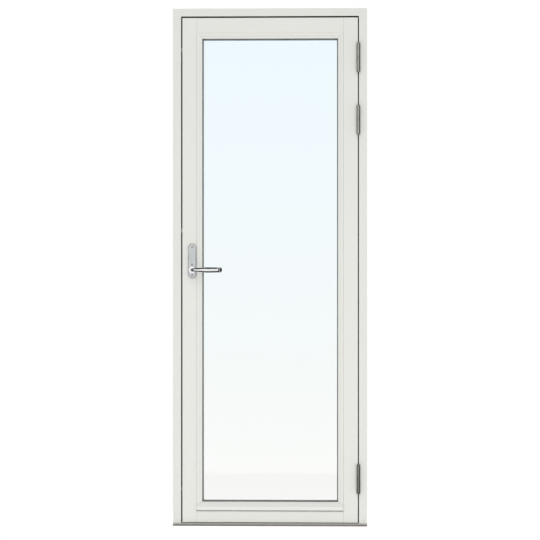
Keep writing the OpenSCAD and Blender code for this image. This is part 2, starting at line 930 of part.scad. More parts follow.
module hinge_stile() {
    color(paint) difference() {
        along_z(sash_z0, sash_z1) polygon([
            [sash_x1, y_out], [bed_x1, y_out], [bed_x1, y_lip], [sight_x1, y_lip], [sight_x1, y_sash_in],
            [sash_x1, y_sash_in]
        ]);
        all_tenons();
        throat();
        for (z = hinge_zs) {
            sash_leaf_plate(z, y_out - cut, cut);
            sash_leaf_holes(z);
        }
    }
}

// Room for the stiles' lips at the ends of a rail's lip
module lip_ends(z0, z1) {
    for (x = [[bed_x0 - cut, sight_x0], [sight_x1, bed_x1 + cut]]) {
        block([x[0], y_lip, z0 - cut], [x[1], y_sash_in + cut, z1 + cut]);
    }
}

module top_rail() {
    color(paint) {
        difference() {
            along_x(bed_x0, bed_x1) polygon([
                [y_out, bed_z1], [y_lip, bed_z1], [y_lip, sight_z1],
                [y_sash_in, sight_z1], [y_sash_in, sash_z1], [y_out, sash_z1]
            ]);
            lip_ends(sight_z1, sash_z1);
        }
        tenons(bed_z1, sash_z1);
    }
}

module bottom_rail() {
    color(paint) {
        difference() {
            along_x(bed_x0, bed_x1) polygon([
                [y_out, sash_z0], [y_out, drip_z0], [y_bead, drip_z0], [y_bead, bed_z0],
                [y_lip, bed_z0], [y_lip, sight_z0], [y_sash_in, sight_z0], [y_sash_in, sash_z0]
            ]);
            lip_ends(sash_z0, sight_z0);
            throat();
        }
        tenons(sash_z0, bed_z0);
    }
}

// Beads: across from the rebate and back from the outside face
function bead_points() = let (
    flat_end = bead_edge + bead_flat
) [
    [0, bead_t], [0, bead_edge], [bead_edge, 0], [flat_end, 0], [flat_end + bead_slope, bead_fall],
    [bead_w, bead_fall + bead_toe], [bead_w, bead_t]
];

module side_bead() {
    difference() {
        along_z(bed_z0, bed_z1) polygon([for (p = bead_points()) [bed_x0 + p[0], y_out + p[1]]]);
        along_y(y_out - cut, y_bead + cut) polygon([
            [bed_x0 - cut, bed_z1 + cut], [sight_x0 + cut, bed_z1 + cut], [sight_x0 + cut, sight_z1 - cut]
        ]);
        drip_solid();
    }
}

module lock_side_bead() {
    color(bead_paint) side_bead();
}

module hinge_side_bead() {
    color(bead_paint) flip_sash() side_bead();
}

module mitre_waste() {
    along_y(y_out - cut, y_bead + cut) polygon([
        [bed_x0 - cut, bed_z1 + cut], [bed_x0 - cut, sight_z1 - cut], [sight_x0 + cut, sight_z1 - cut]
    ]);
}

module top_bead() {
    color(bead_paint) difference() {
        along_x(bed_x0, bed_x1) polygon([for (p = bead_points()) [y_out + p[1], bed_z1 - p[0]]]);
        mitre_waste();
        flip_sash() mitre_waste();
    }
}

// Upper corner of the drip bead's end, which a side bead fills
module drip_waste() {
    climb = drip_mitre / bead_w * cut;
    low = sight_z0 - drip_mitre - climb;
    high = sight_z0 + climb;
    along_y(y_nose - cut, y_bead + cut) polygon([
        [bed_x0 - cut, low], [sight_x0 + cut, high], [bed_x0 - cut, high]
    ]);
}

module drip_solid() {
    nose_z = drip_z0 + drip_lift;
    foot_y = y_out + drip_set;
    toe_y = y_out + bead_fall + bead_toe;
    groove_y = y_nose + drip_groove_in;
    groove_z = nose_z + drip_groove;
    difference() {
        along_x(bed_x0, bed_x1) polygon([
            [y_bead, drip_z0], [y_bead, sight_z0], [toe_y, sight_z0], [y_nose, sight_z0 - drip_fall],
            [y_nose, nose_z], [groove_y, nose_z], [groove_y, groove_z], [groove_y + drip_groove, groove_z],
            [groove_y + drip_groove, nose_z], [foot_y, nose_z], [foot_y, drip_z0]
        ]);
        drip_waste();
        flip_sash() drip_waste();
    }
}

module drip_bead() {
    color(bead_paint) drip_solid();
}

// Sealed unit
module pane(y) {
    color(glass) block([bed_x0 + edge_gap, y, bed_z0 + edge_gap],
        [bed_x1 - edge_gap, y + pane_t, bed_z1 - edge_gap]);
}

// A rectangular ring between two distances from the rebate
module unit_ring(y0, y1, outer, inner) {
    difference() {
        block([bed_x0 + outer, y0, bed_z0 + outer], [bed_x1 - outer, y1, bed_z1 - outer]);
        block([bed_x0 + inner, y0 - cut, bed_z0 + inner], [bed_x1 - inner, y1 + cut, bed_z1 - inner]);
    }
}

module outer_pane() {
    pane(y_pane1);
}

module middle_pane() {
    pane(y_pane2);
}

module inner_pane() {
    pane(y_pane3);
}

module outer_spacer() {
    color(grey) unit_ring(y_gas1, y_pane2, seal_in, spacer_in);
}

module inner_spacer() {
    color(grey) unit_ring(y_gas2, y_pane3, seal_in, spacer_in);
}

module outer_edge_seal() {
    color(dark) unit_ring(y_gas1, y_pane2, edge_gap, seal_in);
}

module inner_edge_seal() {
    color(dark) unit_ring(y_gas2, y_pane3, edge_gap, seal_in);
}

module outer_gasket() {
    color(grey) unit_ring(y_bead, y_pane1, edge_gap, bead_w + gasket_lip);
}

module inner_gasket() {
    color(grey) unit_ring(y_unit, y_lip, edge_gap, bead_w);
}

module setting_blocks() {
    unit_x0 = bed_x0 + edge_gap;
    unit_x1 = bed_x1 - edge_gap;
    low = unit_x0 + block_inset;
    high = unit_x1 - block_inset;
    side_low = bed_z0 + edge_gap + block_inset;
    side_high = bed_z1 - edge_gap - block_inset;
    color(dark) {
        block([low, y_pane1, bed_z0], [low + block_l, y_unit, bed_z0 + edge_gap]);
        block([high - block_l, y_pane1, bed_z0], [high, y_unit, bed_z0 + edge_gap]);
        block([unit_x1, y_pane1, side_low], [bed_x1, y_unit, side_low + block_l]);
        block([bed_x0, y_pane1, side_high - block_l], [unit_x0, y_unit, side_high]);
    }
}

// Lock
case_y = rod_w / 2 + slide_gap + case_wall;

module faceplate_blank(proud) {
    block([sash_x0 - proud, y_lock - faceplate_w / 2, face_z0], [face_x, y_lock + faceplate_w / 2, face_z1]);
}

module face_screw_places() {
    for (z = face_screw_zs) {
        translate([sash_x0, y_lock, z]) rotate([0, 90, 0]) children();
    }
}

module cam_slot_cut(z, way) {
    low = min(z, z + way * rod_travel) - cam_slot / 2;
    high = max(z, z + way * rod_travel) + cam_slot / 2;
    block([sash_x0 - cut, y_lock - cam_slot / 2, low], [face_x + cut, y_lock + cam_slot / 2, high]);
}

module faceplate() {
    color(zinc) difference() {
        faceplate_blank(0);
        cam_slot_cut(upper_cam_z, 1);
        cam_slot_cut(middle_cam_z, 1);
        cam_slot_cut(lower_cam_z, -1);
        face_screw_places() screw_hole(face_screw_d, face_screw_head, face_screw_l);
    }
}

module faceplate_screws() {
    color(zinc) face_screw_places() screw(face_screw_d, face_screw_head, face_screw_l);
}

module rod_channel() {
    half = rod_w / 2 + slide_gap;
    block([face_x - cut, y_lock - half, lower_cam_z - rod_travel - rod_end - slide_gap],
        [rod_x + rod_t + slide_gap, y_lock + half, upper_cam_z + rod_travel + rod_end + slide_gap]);
}

// Rods have holes where faceplate screws pass, long enough for their travel
module screw_windows(way) {
    window = face_screw_d + 2 * slide_gap;
    for (z = face_screw_zs) {
        block([face_x, y_lock - window / 2, min(z, z - way * rod_travel) - window / 2],
            [rod_x + rod_t + cut, y_lock + window / 2, max(z, z - way * rod_travel) + window / 2]);
    }
}

// Hub bores and bolt holes through the gearbox
module gearbox_holes() {
    translate([spindle_x, y_lock - case_y - cut, handle_z]) rotate([-90, 0, 0])
        cylinder(r = hub_d / 2 + hub_play, h = 2 * case_y + 2 * cut);
    bolt_places(y_lock - case_y - cut) cylinder(d = bolt_d, h = 2 * case_y + 2 * cut);
}

module gearbox_case() {
    inner = rod_w / 2 + slide_gap;
    color(zinc) difference() {
        block([face_x, y_lock - case_y, handle_z - case_half],
            [case_x + case_skin, y_lock + inner, handle_z + case_half]);
        block([face_x - cut, y_lock - inner, handle_z - case_half + case_skin],
            [case_x, y_lock + inner + cut, handle_z + case_half - case_skin]);
        rod_channel();
        gearbox_holes();
    }
}

module gearbox_cover() {
    color(zinc) difference() {
        block([face_x, y_lock + rod_w / 2 + slide_gap, handle_z - case_half],
            [case_x + case_skin, y_lock + case_y, handle_z + case_half]);
        gearbox_holes();
    }
}

// Half angle that a pinion tooth fills at a radius
base_r = pitch_r * cos(pressure);

function involute(angle) = tan(angle) * 180 / PI - angle;

function tooth_half(r) = (tooth_pitch / 2 - tooth_play / 2) / pitch_r / 2 * 180 / PI
    + involute(pressure) - involute(acos(min(1, base_r / r)));

function flank_radii() = concat(
    [pitch_r - tooth_ded],
    [for (i = [0 : flank_points - 1]) base_r + (pitch_r + tooth_add - base_r) * i / (flank_points - 1)]
);

function polar(r, angle) = [r * cos(angle), r * sin(angle)];

function pinion_points() = let (radii = flank_radii(), last = len(radii) - 1) [
    for (k = [0 : pinion_teeth - 1]) each concat(
        [for (i = [0 : last]) polar(radii[i], k * 360 / pinion_teeth - tooth_half(radii[i]))],
        [for (i = [last : -1 : 0]) polar(radii[i], k * 360 / pinion_teeth + tooth_half(radii[i]))]
    )
];

module square_hole(l) {
    side = spindle_s + 2 * spindle_fit;
    rotate([-90, 0, 0]) translate([-side / 2, -side / 2, 0]) cube([side, side, l]);
}

module drive_pinion() {
    color(steel) translate([spindle_x, y_lock, handle_z]) difference() {
        union() {
            along_y(-rod_w / 2, rod_w / 2) polygon(pinion_points());
            translate([0, -case_y, 0]) rotate([-90, 0, 0]) cylinder(d = hub_d, h = 2 * case_y);
        }
        translate([0, -case_y - cut, 0]) square_hole(2 * case_y + 2 * cut);
    }
}

// Rack on the lock side of the pinion, seen along the spindle
function rack_points() = let (
    half = (tooth_pitch - tooth_play) / 4,
    tip = half - tooth_add * tan(pressure),
    root = half + tooth_ded * tan(pressure),
    x_tip = -pitch_r + tooth_add,
    x_root = -pitch_r - tooth_ded,
    low = -(rack_trail + 1 / 2) * tooth_pitch
) concat(
    [[-rack_x, arm_z + arm_h], [-rack_x, low], [x_root, low]],
    [
        for (k = [-rack_trail : rack_lead - 1])
            let (z = (k + 1 / 2) * tooth_pitch)
                each [[x_root, z - root], [x_tip, z - tip], [x_tip, z + tip], [x_root, z + root]]
    ],
    [[x_root, arm_z + arm_h]]
);

module rack() {
    along_y(-rod_w / 2, rod_w / 2) polygon(rack_points());
}

module rod_bar(z0, z1) {
    block([rod_x, y_lock - rod_w / 2, z0], [rod_x + rod_t, y_lock + rod_w / 2, z1]);
}

module cam_stub(z) {
    translate([rod_x - cut, y_lock, z]) rotate([0, 90, 0]) cylinder(d = cam_stub_d, h = rod_t + 2 * cut);
}

module upper_rod() {
    arm_low = handle_z + arm_z;
    color(steel) difference() {
        union() {
            translate([spindle_x, y_lock, handle_z]) rack();
            block([rod_x, y_lock - rod_w / 2, arm_low],
                [spindle_x - pitch_r - tooth_ded, y_lock + rod_w / 2, arm_low + arm_h]);
            rod_bar(arm_low, upper_cam_z + rod_end);
        }
        cam_stub(upper_cam_z);
        cam_stub(middle_cam_z);
        screw_windows(1);
    }
}

module lower_rod() {
    arm_high = handle_z - arm_z;
    color(steel) difference() {
        union() {
            translate([spindle_x, y_lock, handle_z]) rotate([0, 180, 0]) rack();
            block([rod_x, y_lock - rod_w / 2, arm_high - arm_h],
                [spindle_x + rack_x, y_lock + rod_w / 2, arm_high]);
            rod_bar(lower_cam_z - rod_end, arm_high);
        }
        cam_stub(lower_cam_z);
        screw_windows(-1);
    }
}

module cam(z) {
    base = rod_x;
    head_x = sash_x0 - cam_out;
    color(bright) translate([base + rod_t, y_lock, z]) rotate([0, -90, 0]) {
        cylinder(d = cam_stub_d, h = rod_t);
        translate([0, 0, rod_t]) cylinder(d = cam_neck_d, h = base - head_x);
        translate([0, 0, rod_t + base - head_x - cam_head_t]) cylinder(d = cam_d, h = cam_head_t);
    }
}

module upper_cam() {
    cam(upper_cam_z);
}

module middle_cam() {
    cam(middle_cam_z);
}

module lower_cam() {
    cam(lower_cam_z);
}

// Handle
module bolt_places(y) {
    for (z = bolt_zs) {
        translate([spindle_x, y, z]) rotate([-90, 0, 0]) children();
    }
}

// Holes in the stile for the spindle, bolts, sleeve nuts and plate screws
module handle_holes() {
    translate([spindle_x, y_out - cut, handle_z]) rotate([-90, 0, 0])
        cylinder(d = spindle_hole, h = sash_t + 2 * cut);
    bolt_places(y_out - cut) cylinder(d = bolt_d, h = sash_t / 2);
    bolt_places(y_lock) cylinder(d = sleeve_d, h = sash_t);
    plate_screw_hole();
    flip_plate() plate_screw_hole();
}

module plate_screw_place(y) {
    translate([spindle_x, y, handle_z + plate_screw_z]) rotate([-90, 0, 0]) children();
}

module plate_screw_hole() {
    plate_screw_place(y_plate_out) screw_hole(plate_screw_d, plate_head, plate_screw_l);
}

// Mirror image of the outside handle on the room side
module flip_plate() {
    translate([0, y_out + y_sash_in, 0]) mirror([0, 1, 0]) children();
}

// Plate with round ends and a chamfered rim, its back on the plane y = 0
module plate_blank() {
    r = plate_w / 2;
    low = -plate_below + r;
    high = plate_above - r;
    rim = plate_t - plate_edge;
    for (z = [low, high]) {
        translate([0, 0, z]) rotate([90, 0, 0]) {
            cylinder(r = r, h = rim);
            translate([0, 0, rim]) cylinder(r1 = r, r2 = r - plate_edge, h = plate_edge);
        }
    }
    along_z(low, high) polygon([
        [-r, 0], [-r, -rim], [-r + plate_edge, -plate_t], [r - plate_edge, -plate_t], [r, -rim], [r, 0]
    ]);
}

module plate_solid() {
    difference() {
        translate([spindle_x, y_out, handle_z]) union() {
            plate_blank();
            rotate([90, 0, 0]) cylinder(d = collar_d, h = plate_t + collar_t);
        }
        translate([spindle_x, y_out + cut, handle_z]) rotate([90, 0, 0])
            cylinder(r = neck_d / 2 + neck_play, h = plate_t + collar_t + 2 * cut);
        plate_screw_hole();
    }
}

module outside_plate() {
    color(satin) difference() {
        plate_solid();
        bolt_places(y_plate_out) screw_hole(bolt_d, plate_head, sash_t);
    }
}

module inside_plate() {
    color(satin) difference() {
        flip_plate() plate_solid();
        sleeve_places() screw_hole(sleeve_d, plate_head, sash_t);
    }
}

module sleeve_places() {
    flip_plate() bolt_places(y_plate_out) children();
}

module outside_plate_screw() {
    color(satin) plate_screw_place(y_plate_out) screw(plate_screw_d, plate_head, plate_screw_l, slot_turn);
}

module inside_plate_screw() {
    color(satin) flip_plate() plate_screw_place(y_plate_out)
        screw(plate_screw_d, plate_head, plate_screw_l, slot_turn);
}

// Bolts run from the outside plate to the room side of the gearbox, into sleeve nuts
bolt_end = y_lock + case_y + plate_screw_l / 2;

module handle_bolts() {
    color(satin) bolt_places(y_plate_out) screw(bolt_d, plate_head, bolt_end - y_plate_out);
}

module sleeve_nuts() {
    color(satin) difference() {
        sleeve_places() screw(sleeve_d, plate_head, y_plate_in - y_lock - case_y);
        bolt_places(y_plate_out) cylinder(d = bolt_d, h = bolt_end - y_plate_out);
    }
}

// Lever: a sweep along a path bent in the plane of the spindle, in front of the plate
function run_at(i) = lever_run * i / sweep_steps;

function heading(s) = lookup(s, [
    [0, 90],
    [straight_run, 90],
    [straight_run + elbow_run, bow_turn],
    [straight_run + elbow_run + bow_run, -bow_turn],
    [lever_run, -tip_turn]
]);

function path_points() = let (step = lever_run / sweep_steps) [
    for (
        i = 0, p = [0, sweep_start];
        i <= sweep_steps;
        p = p + step * [cos(heading((i + 1 / 2) * step)), sin(heading((i + 1 / 2) * step))], i = i + 1
    ) p
];

// Rounding off at the tip, as a share of the full section
function tip_share(s) = let (
    start = lever_run - tip_run * (1 - tip_round),
    reach = (s - start) / (lever_run - start + tip_cut)
) s < start ? 1 : sqrt(1 - reach * reach);

function half_height(s) = tip_share(s) * lookup(s, [
    [0, neck_half],
    [straight_run, neck_half],
    [straight_run + elbow_run, slim_half],
    [straight_run + elbow_run + bow_run / 2, grip_half],
    [straight_run + elbow_run + bow_run, (grip_half + tip_half) / 2],
    [lever_run, tip_half]
]);

function half_thickness(s) = tip_share(s) * lookup(s, [
    [0, neck_half],
    [straight_run, neck_half],
    [straight_run + elbow_run, grip_thin],
    [straight_run + elbow_run + bow_run, grip_thin],
    [lever_run, tip_thin]
]);

function sweep_points() = let (path = path_points()) [
    for (i = [0 : sweep_steps], k = [0 : sweep_sides - 1])
        let (
            s = run_at(i),
            turn = heading(s),
            across = half_thickness(s) * cos(360 * k / sweep_sides),
            up = half_height(s) * sin(360 * k / sweep_sides),
            p = path[i] + across * [-sin(turn), cos(turn)]
        ) [p[0], -p[1], up]
];

function sweep_faces() = concat(
    [[for (k = [sweep_sides - 1 : -1 : 0]) k]],
    [
        for (i = [0 : sweep_steps - 1], k = [0 : sweep_sides - 1])
            let (
                a = i * sweep_sides + k,
                b = i * sweep_sides + (k + 1) % sweep_sides,
                c = a + sweep_sides,
                d = b + sweep_sides
            ) each [[a, b, c], [b, d, c]]
    ],
    [[for (k = [0 : sweep_sides - 1]) sweep_steps * sweep_sides + k]]
);

module lever() {
    difference() {
        union() {
            polyhedron(sweep_points(), sweep_faces());
            translate([0, plate_t - neck_gap, 0]) rotate([90, 0, 0])
                cylinder(d = neck_d, h = plate_t - neck_gap + neck_l);
        }
        translate([0, -socket_d, 0]) square_hole(socket_d + plate_t + cut);
    }
}

module outside_lever() {
    color(bright) translate([spindle_x, y_plate_out, handle_z]) lever();
}

module inside_lever() {
    color(bright) translate([spindle_x, y_plate_in, handle_z]) mirror([0, 1, 0]) lever();
}

module spindle() {
    color(steel) block(
        [spindle_x - spindle_s / 2, y_plate_out - socket_d, handle_z - spindle_s / 2],
        [spindle_x + spindle_s / 2, y_plate_in + socket_d, handle_z + spindle_s / 2]
    );
}

lock_jamb();
hinge_jamb();
lock_stop();
hinge_stop();
head();
threshold_core();
threshold_cover();
frame_seal();
sill_seal();
upper_strike();
middle_strike();
lower_strike();
strike_screws();
upper_frame_leaf();
middle_frame_leaf();
lower_frame_leaf();
hinge_pins();
hinge_washers();
hinge_frame_screws();
upper_sash_leaf();
middle_sash_leaf();
lower_sash_leaf();
hinge_sash_screws();
lock_stile();
hinge_stile();
top_rail();
bottom_rail();
top_bead();
lock_side_bead();
hinge_side_bead();
drip_bead();
outer_pane();
middle_pane();
inner_pane();
outer_spacer();
inner_spacer();
outer_edge_seal();
inner_edge_seal();
outer_gasket();
inner_gasket();
setting_blocks();
faceplate();
faceplate_screws();
gearbox_case();
gearbox_cover();
outside_plate();
inside_plate();
outside_plate_screw();
inside_plate_screw();
handle_bolts();
sleeve_nuts();
outside_lever();
inside_lever();
spindle();
drive_pinion();
upper_rod();
upper_cam();
middle_cam();
lower_rod();
lower_cam();
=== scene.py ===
import itertools
import json
import math

import bpy
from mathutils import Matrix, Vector


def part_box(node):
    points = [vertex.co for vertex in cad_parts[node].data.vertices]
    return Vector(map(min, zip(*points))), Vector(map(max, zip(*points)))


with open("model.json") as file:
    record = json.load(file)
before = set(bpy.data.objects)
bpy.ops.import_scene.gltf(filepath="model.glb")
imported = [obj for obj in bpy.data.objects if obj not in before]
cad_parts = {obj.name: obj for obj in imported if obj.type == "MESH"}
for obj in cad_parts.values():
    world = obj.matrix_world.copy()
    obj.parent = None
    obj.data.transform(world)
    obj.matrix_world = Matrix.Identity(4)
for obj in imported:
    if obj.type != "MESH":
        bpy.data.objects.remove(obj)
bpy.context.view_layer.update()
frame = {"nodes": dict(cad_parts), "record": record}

nodes = frame["nodes"]
WHITE = (1, 1, 1, 1)

# The photograph's frame, and the door's top, bottom and middle in it, in pixels
IMAGE_SIZE = 540
PHOTO_TOP = 8.4
PHOTO_BOTTOM = 526.0
PHOTO_MIDDLE = 269.9

# The camera stands a little to the right of the door's middle, at mid height
CAMERA_DISTANCE = 9.0
CAMERA_AZIMUTH = math.radians(1.8)
CAMERA_REACH = 100.0
SENSOR_WIDTH = 36.0

# A soft key lamp, in front of the door and above it
KEY_LIGHT = 1.01
KEY_SPREAD = math.radians(60)
KEY_FROM = Vector((0.08, -1.0, 0.60))

# The world's light, which falls off from the front and the back towards the sides and is weakest where a
# direction's part along X reaches WORLD_TURN, and the white backdrop that is seen in its place
WORLD_FRONT = 0.85
WORLD_SIDE = 0.43
WORLD_TURN = 0.85
BACKDROP_LIGHT = 1.0

# The floor's own light, one strength for the door and one for the camera; between two distances from the
# door, which the stretch doubles along X, what the camera sees turns from the shaded floor to plain white
FLOOR_HALF = 6.0
FLOOR_COLOUR = (0.86, 0.86, 0.86, 1)
FLOOR_BOUNCE = 0.38
FLOOR_GLOW = 0.5
FLOOR_SHADED = 0.30
FLOOR_WHITE = 0.85
FLOOR_STRETCH = (0.5, 1, 1)

# Dark cards that show only in reflections: two opposite corners of each, and its grey
CARD_SIDE = 4.0
CARD_TOP = 3.3
CARD_FLOOR = 0.01
CARDS = {
    "flag_over": ((-2.4, -5.0, CARD_TOP), (1.8, 3.0, CARD_TOP), 0.03),
    "flag_high": ((-0.45, -4.0, 2.45), (0.05, -4.0, 5.0), 0.03),
    "flag_mid": ((-CARD_SIDE, -2.2, CARD_FLOOR), (CARD_SIDE, -0.9, CARD_FLOOR), 0.10),
    "flag_low": ((-CARD_SIDE, -0.9, CARD_FLOOR), (CARD_SIDE, 2.0, CARD_FLOOR), 0.05),
    "flag_right": ((2.6, -2.2, 0.0), (2.6, 1.5, CARD_TOP), 0.05),
    "flag_left": ((-2.6, -1.8, 0.0), (-2.6, 1.5, CARD_TOP), 0.08),
}

# Softened edges, in metres: width and number of steps for each slot
EDGES = {
    "frame_paint": (0.0006, 3),
    "sash_paint": (0.0006, 3),
    "bead_paint": (0.0006, 2),
    "threshold_wood": (0.0008, 2),
    "threshold_alloy": (0.0005, 2),
    "seal_rubber": (0.0014, 3),
    "lock_zinc": (0.0003, 2),
    "hinge_steel": (0.0003, 2),
    "pin_steel": (0.0003, 2),
    "clear_glass": (0.0004, 1),
    "spacer_grey": (0.0003, 1),
    "edge_sealant": (0.0003, 1),
    "gasket_grey": (0.0005, 2),
    "block_plastic": (0.0006, 2),
    "plate_satin": (0.0003, 2),
    "screw_nickel": (0.0001, 1),
    "lever_chrome": (0.0004, 2),
    "cam_steel": (0.0003, 2),
}
SHARP_ANGLE = math.radians(28)
FLAT_ANGLE = math.radians(0.2)
WELD_DISTANCE = 1e-6
SHADING_WEIGHT = 80

# The part of a noise's range that holds most of its values
NOISE_LOW = 0.3
NOISE_HIGH = 0.7

# Grain and brushing, as how tightly noise is squeezed along each axis
UPRIGHT = (260, 260, 5)
LEVEL = (5, 260, 260)
BRUSHED_UP = (2200, 2200, 30)
BRUSHED_LEVEL = (30, 2200, 2200)

# Paint on the wood, and the nodes whose grain runs level
PAINTED = {
    "frame_paint": (0.718, 0.722, 0.678),
    "sash_paint": (0.735, 0.740, 0.698),
    # The beads' paint is a little lighter than the sash's, as painted light on the beads
    "bead_paint": (0.760, 0.764, 0.724),
}
LEVEL_NODES = {"head", "top_rail", "bottom_rail", "top_bead", "drip_bead"}

# The frame's rebate is painted dark as painted shade in the gap round the sash, from a little behind its
# front edge, and a little past the seal
REBATE_SHADE = (0.075, 0.058, 0.038)
REBATE_EDGE = 0.0001
REBATE_PAST = 0.0015

# A line of painted shade in the sash's joints, where their hairline gaps would be, and how wide that line
# is
JOINT_SHADE = (0.10, 0.095, 0.085)
JOINT_LINE = 0.00035

# A painted reflection of a pale blue sky in each face of the glass from its foot to its top, the share that
# it mirrors when faced, and how steeply that grows as it turns away
GLASS_PAINTED_SKY = (
    (0.0, (0.998, 0.998, 0.995)),
    (0.22, (0.989, 0.994, 0.992)),
    (0.73, (0.980, 0.994, 1.0)),
    (1.0, (0.975, 0.992, 1.0)),
)
GLASS_SHINE = 0.010
GLASS_TURN = 5.0

# The collars round the levers' necks are polished as far as they stand proud of the plates
COLLAR_HEIGHT = 0.0024
COLLAR_BRIGHT = (0.95, 0.95, 0.95)

# Heights between which the threshold goes from painted shade on its nose to painted light on its slope
NOSE_LOW = 0.0060
NOSE_HIGH = 0.0098


class Tree:
    """The nodes of a material or of the world, with short calls to make and link them."""

    def __init__(self, owner):
        owner.use_nodes = True
        self.tree = owner.node_tree
        self.tree.nodes.clear()
        self.output = "OutputWorld" if isinstance(owner, bpy.types.World) else "OutputMaterial"

    def node(self, kind, inputs=None, **settings):
        """A new node with its settings, and with inputs set to values or linked to other nodes' outputs."""
        made = self.tree.nodes.new("ShaderNode" + kind)
        for name, value in settings.items():
            setattr(made, name, value)
        for name, value in (inputs or {}).items():
            if isinstance(value, bpy.types.NodeSocket):
                self.tree.links.new(value, made.inputs[name])
            else:
                made.inputs[name].default_value = value
        return made

    def surface(self, shader):
        """Makes a shader the one that shows."""
        self.node(self.output, {"Surface": shader})

    def math(self, operation, *numbers):
        """The result of an operation on numbers or on other nodes' outputs."""
        return self.node("Math", dict(enumerate(numbers)), operation=operation).outputs["Value"]

    def mapped(self, source, curve="LINEAR", **ends):
        """A number that goes between two ends as source does; an end that isn't given is 0 or 1."""
        inputs = {name.replace("_", " "): value for name, value in ends.items()}
        inputs["Value"] = source
        return self.node("MapRange", inputs, interpolation_type=curve).outputs["Result"]

    def mix(self, share, first, second):
        """The first shader, or the second where share is one."""
        return self.node("MixShader", {"Fac": share, 1: first, 2: second}).outputs["Shader"]

    def axes(self, vector):
        """A vector's X, Y and Z."""
        return self.node("SeparateXYZ", {"Vector": vector}).outputs

    def seen(self):
        """One for rays from the camera, mirrored or let through, and nothing for light on matt things."""
        rays = self.node("LightPath").outputs
        mirrored = self.math("MAXIMUM", rays["Is Camera Ray"], rays["Is Glossy Ray"])
        return self.math("MAXIMUM", mirrored, rays["Is Transmission Ray"])


class Finish(Tree):
    """A material for pieces of the door, with patterns in the piece's own coordinates."""

    def __init__(self, name):
        self.material = bpy.data.materials.new(name)
        super().__init__(self.material)
        self.place = self.node("TexCoord").outputs["Object"]

    def noise(self, scale=1.0, detail=2.0, along=(1, 1, 1)):
        """Noise from 0 to 1, squeezed along the axes."""
        place = self.node("Mapping", {"Vector": self.place, "Scale": along}).outputs["Vector"]
        return self.node("TexNoise", {"Vector": place, "Scale": scale, "Detail": detail}).outputs["Fac"]

    def ramp(self, source, *stops):
        """Colours at positions from 0 to 1, read by source."""
        ramp = self.node("ValToRGB", {"Fac": source})
        elements = ramp.color_ramp.elements
        while len(elements) < len(stops):
            elements.new(1.0)
        for element, (position, colour) in zip(elements, stops):
            element.position = position
            element.color = (*colour, 1)
        return ramp.outputs["Color"]

    def tones(self, noise, low, high):
        """One colour where noise is low, another where it is high, and blends of them between."""
        return self.ramp(noise, (NOISE_LOW, low), (NOISE_HIGH, high))

    def spread(self, noise, low, high):
        """One number where noise is low, another where it is high, and those between them."""
        return self.mapped(noise, From_Min=NOISE_LOW, From_Max=NOISE_HIGH, To_Min=low, To_Max=high)

    def bump(self, height, strength, distance, under=None):
        """A normal raised by height, on top of another normal."""
        inputs = {"Height": height, "Strength": strength, "Distance": distance}
        if under is not None:
            inputs["Normal"] = under
        return self.node("Bump", inputs).outputs["Normal"]

    def within(self, low, high):
        """One inside a box, and nothing outside it."""
        axes = self.axes(self.place)
        inside = [
            self.math("COMPARE", axes[axis], (least + most) / 2, (most - least) / 2)
            for axis, least, most in zip("XYZ", low, high)
        ]
        return self.math("MULTIPLY", self.math("MULTIPLY", inside[0], inside[1]), inside[2])

    def climb(self, low, high):
        """Nothing below one height, one above another, and a share between them."""
        return self.mapped(self.axes(self.place)["Z"], From_Min=low, From_Max=high)

    def blend(self, share, first, second):
        """The first colour or number, or the second where share is one."""
        inputs = {"Factor": share, "A": first, "B": second}
        return self.node("Mix", inputs, data_type="RGBA").outputs["Result"]

    def shader(self, **inputs):
        """The main shader, with its inputs set to values or linked to other nodes' outputs."""
        named = {name.replace("_", " "): value for name, value in inputs.items()}
        return self.node("BsdfPrincipled", named).outputs["BSDF"]

    def done(self, shader):
        """The material, with the shader that shows."""
        self.surface(shader)
        return self.material


def shade(colour, share):
    """A colour times a share."""
    return tuple(share * part for part in colour)


def rebate_box():
    """The space of the frame's rebate, from just behind its front edge to the seal, which gets painted
    shade.
    """
    low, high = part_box("frame_seal")
    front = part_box("lock_jamb")[0].y + REBATE_EDGE
    return (low.x - REBATE_PAST, front, 0), (high.x + REBATE_PAST, low.y, high.z + REBATE_PAST)


def joint_boxes():
    """The lines of painted shade on the sash's outer face, where rails and beads meet the stiles."""
    low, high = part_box("lock_side_bead")[0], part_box("hinge_side_bead")[1]
    bottom, top = (corner.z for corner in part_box("lock_stile"))
    half = JOINT_LINE / 2
    return [((x - half, low.y - half, bottom), (x + half, high.y, top)) for x in (low.x, high.x)]


def painted_wood(name, colour, along, painted_shade, boxes):
    """Sprayed satin paint with faint grain, fine orange peel and slight clouds, darkened to painted shade
    in some boxes.
    """
    finish = Finish(name)
    cloud = finish.noise(scale=2.2, detail=3.0)
    grain = finish.noise(detail=4.0, along=along)
    peel = finish.noise(scale=650.0, detail=1.0)
    coat = finish.tones(cloud, shade(colour, 0.985), colour)
    dark = finish.tones(grain, shade(painted_shade, 0.8), shade(painted_shade, 1.2))
    # In each box the paint turns to the painted shade
    for box in boxes:
        coat = finish.blend(finish.within(*box), coat, dark)
    fibres = finish.bump(grain, strength=0.10, distance=0.0004)
    return finish.done(finish.shader(
        Base_Color=coat,
        Roughness=finish.spread(grain, low=0.36, high=0.46),
        Normal=finish.bump(peel, strength=0.05, distance=0.0004, under=fibres),
    ))


